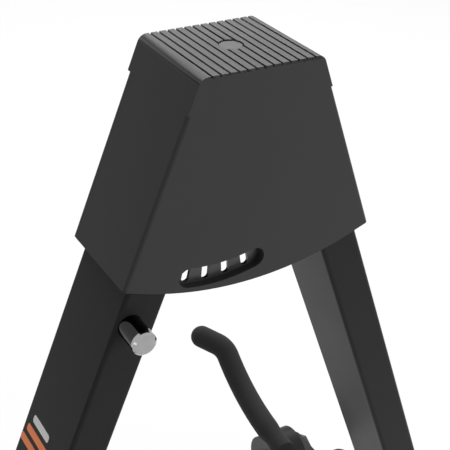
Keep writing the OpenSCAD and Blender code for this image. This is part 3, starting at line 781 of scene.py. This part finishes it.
@listed
class STAND_OT_bars(bpy.types.Operator):
    """Make the plain accent bars on the left leg's outer face"""
    bl_idname = "stand.bars"
    bl_label = "Accent bars"

    def execute(self, context):
        width = context.scene.stand_sizes.bar_width
        for i, (finish, share) in enumerate(BARS):
            bm = bmesh.new()
            bmesh.ops.create_cube(bm, size=1.0)
            middle = Vector((BAR_FACE + BAR_HEIGHT / 2, BAR_SHIFT,
                             -BAR_DOWN - BAR_STEP * width * i))
            place = (leg_matrix() @ Matrix.Translation(middle)
                     @ Matrix.Diagonal((BAR_HEIGHT, BAR_REACH * share, width, 1.0)))
            bmesh.ops.transform(bm, matrix=place, verts=bm.verts)
            ends = [e for e in bm.edges if e.calc_length() < 2 * BAR_HEIGHT]
            bmesh.ops.bevel(bm, geom=ends, offset=width / 3, segments=CORNER_SEGMENTS,
                            profile=0.5, affect="EDGES", material=-1, clamp_overlap=True)
            piece_from(bm, "leg_bar_%d" % (i + 1), "left_leg", MATERIALS[finish])
        return {"FINISHED"}


# Strength of the surround where it lights the object, and share of plain white in the floor
# where the background rays see it
AMBIENT = 0.14
FLOOR_GLOW = 0.88
FLOOR_HALF = 6.0
CLIP_NEAR, CLIP_FAR = 0.01, 50.0
# Each soft lamp's name, place from the cap's top, sides in metres and power in watts
LAMPS = (
    ("Top softbox", (0.65, 1.05, 0.85), (1.3, 1.0), 25.0),
    ("Overhead softbox", (0.0, 0.2, 1.3), (0.9, 0.9), 8.0),
    ("Front softbox", (0.9, -1.3, 0.2), (1.0, 1.2), 12.0),
    ("Left softbox", (-1.2, -0.8, 0.0), (0.16, 1.0), 0.6),
)


def background_ray(tree):
    """1 for the rays of the camera and of gloss and glass, which see a white background."""
    path = tree.nodes.new("ShaderNodeLightPath")
    seen = math_node(tree, "MAXIMUM", path.outputs["Is Camera Ray"],
                     path.outputs["Is Glossy Ray"])
    return math_node(tree, "MAXIMUM", seen, path.outputs["Is Transmission Ray"])


def soft_lamp(name, offset, size, power):
    """A rectangular lamp that faces the middle of the cap's top."""
    data = bpy.data.lights.new(name, "AREA")
    data.shape = "RECTANGLE"
    data.size, data.size_y = size
    data.energy = power
    lamp = bpy.data.objects.new(name, data)
    bpy.context.scene.collection.objects.link(lamp)
    lamp.location = CAP_TOP + Vector(offset)
    lamp.rotation_euler = (-Vector(offset)).to_track_quat("-Z", "Y").to_euler()


@listed
class STAND_OT_stage(bpy.types.Operator):
    """Make the pale floor, the white surround, the soft lamps and the camera"""
    bl_idname = "stand.stage"
    bl_label = "Studio"

    def execute(self, context):
        self.floor()
        self.surround(context.scene)
        for lamp in LAMPS:
            soft_lamp(*lamp)
        self.camera(context.scene)
        return {"FINISHED"}

    def floor(self):
        bm = bmesh.new()
        bmesh.ops.create_grid(bm, x_segments=8, y_segments=8, size=FLOOR_HALF)
        mesh = bpy.data.meshes.new("floor")
        bm.to_mesh(mesh)
        bm.free()
        floor = bpy.data.objects.new("floor", mesh)
        bpy.context.scene.collection.objects.link(floor)
        material = bpy.data.materials.new("Pale floor")
        material.use_nodes = True
        tree = material.node_tree
        shader = tree.nodes["Principled BSDF"]
        shader.inputs["Base Color"].default_value = (0.9, 0.9, 0.9, 1.0)
        shader.inputs["Roughness"].default_value = 0.9
        glow = tree.nodes.new("ShaderNodeEmission")
        mix = tree.nodes.new("ShaderNodeMixShader")
        tree.links.new(math_node(tree, "MULTIPLY", background_ray(tree), FLOOR_GLOW),
                       mix.inputs[0])
        tree.links.new(shader.outputs[0], mix.inputs[1])
        tree.links.new(glow.outputs[0], mix.inputs[2])
        tree.links.new(mix.outputs[0], tree.nodes["Material Output"].inputs[0])
        mesh.materials.append(material)

    def surround(self, scene):
        world = bpy.data.worlds.new("Surround")
        scene.world = world
        world.use_nodes = True
        tree = world.node_tree
        back = tree.nodes["Background"]
        back.inputs["Color"].default_value = (1.0, 1.0, 1.0, 1.0)
        level = math_node(tree, "MULTIPLY_ADD", background_ray(tree), 1.0 - AMBIENT)
        level.node.inputs[2].default_value = AMBIENT
        tree.links.new(level, back.inputs["Strength"])

    def camera(self, scene):
        view = scene.stand_camera
        a, e, roll = view.azimuth, view.elevation, view.roll
        ahead = Vector((-math.sin(a) * math.cos(e), math.cos(a) * math.cos(e), -math.sin(e)))
        right = ahead.cross(Vector((0, 0, 1))).normalized()
        up = right.cross(ahead)
        right, up = (math.cos(roll) * right + math.sin(roll) * up,
                     math.cos(roll) * up - math.sin(roll) * right)
        data = bpy.data.cameras.new("Photo camera")
        data.sensor_fit = "HORIZONTAL"
        data.lens = data.sensor_width / 2 / math.tan(view.view_angle / 2)
        data.clip_start, data.clip_end = CLIP_NEAR, CLIP_FAR
        camera = bpy.data.objects.new("Photo camera", data)
        scene.collection.objects.link(camera)
        turn = Matrix((right, up, -ahead)).transposed().to_4x4()
        camera.matrix_world = Matrix.Translation(CAP_TOP + Vector(view.offset)) @ turn
        scene.camera = camera
        scene.view_settings.view_transform = "Standard"


class STAND_PT_panel(bpy.types.Panel):
    """The stand's colours, sizes and steps"""
    bl_label = "Guitar Stand"
    bl_idname = "STAND_PT_panel"
    bl_space_type = "VIEW_3D"
    bl_region_type = "UI"
    bl_category = "Stand"

    def draw(self, context):
        layout = self.layout
        scene = context.scene
        for group in (scene.stand_colours, scene.stand_sizes, scene.stand_camera):
            box = layout.box()
            for name in group.__annotations__:
                box.prop(group, name)
        for cls in PANEL_ORDER:
            layout.operator(cls.bl_idname)


GROUPS = (("stand_colours", StandColours), ("stand_sizes", StandSizes),
          ("stand_camera", StandCamera))


def register():
    for name, cls in GROUPS:
        bpy.utils.register_class(cls)
        setattr(bpy.types.Scene, name, bpy.props.PointerProperty(type=cls))
    for cls in (*PANEL_ORDER, STAND_PT_panel):
        bpy.utils.register_class(cls)


def unregister():
    for cls in (STAND_PT_panel, *reversed(PANEL_ORDER)):
        bpy.utils.unregister_class(cls)
    for name, cls in reversed(GROUPS):
        delattr(bpy.types.Scene, name)
        bpy.utils.unregister_class(cls)


def main():
    register()
    bpy.ops.stand.materials()
    bpy.ops.stand.stage()
    bpy.ops.stand.hood()
    bpy.ops.stand.legs()
    bpy.ops.stand.feet()
    bpy.ops.stand.lock()
    bpy.ops.stand.arms()
    bpy.ops.stand.foam()
    bpy.ops.stand.bars()


if __name__ == "__main__":
    main()
